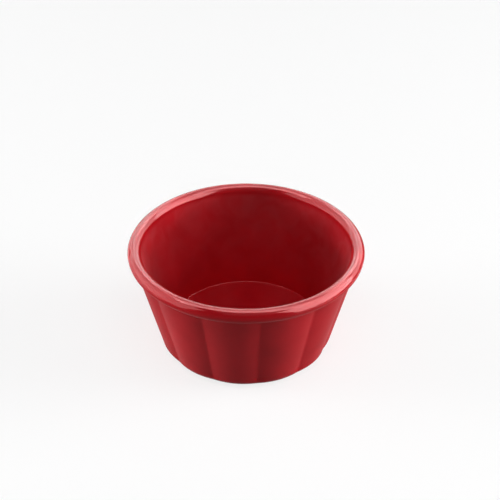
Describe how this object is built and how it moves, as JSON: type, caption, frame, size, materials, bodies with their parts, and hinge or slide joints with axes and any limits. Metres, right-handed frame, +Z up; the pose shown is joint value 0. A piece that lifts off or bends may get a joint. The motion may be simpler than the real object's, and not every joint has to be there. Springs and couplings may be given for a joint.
{
  "type": "sauce dish",
  "caption": "Small round glossy sauce dish with a rolled rim, a tapering wall fluted on the outside, a plain inside and a low foot ring.",
  "frame": {"origin": "middle of the foot ring, on the surface that the dish stands on", "axes": "+Z up along the dish's axis, out of its mouth; -Y is the side that faces the picture, with a flute's crest on it"},
  "size_m": [0.085, 0.085, 0.0417],
  "materials": {
    "red_gloss": "glossy moulded red, coloured all through"
  },
  "bodies": {
    "root": {"dish_body": "red_gloss"}
  },
  "joints": []
}
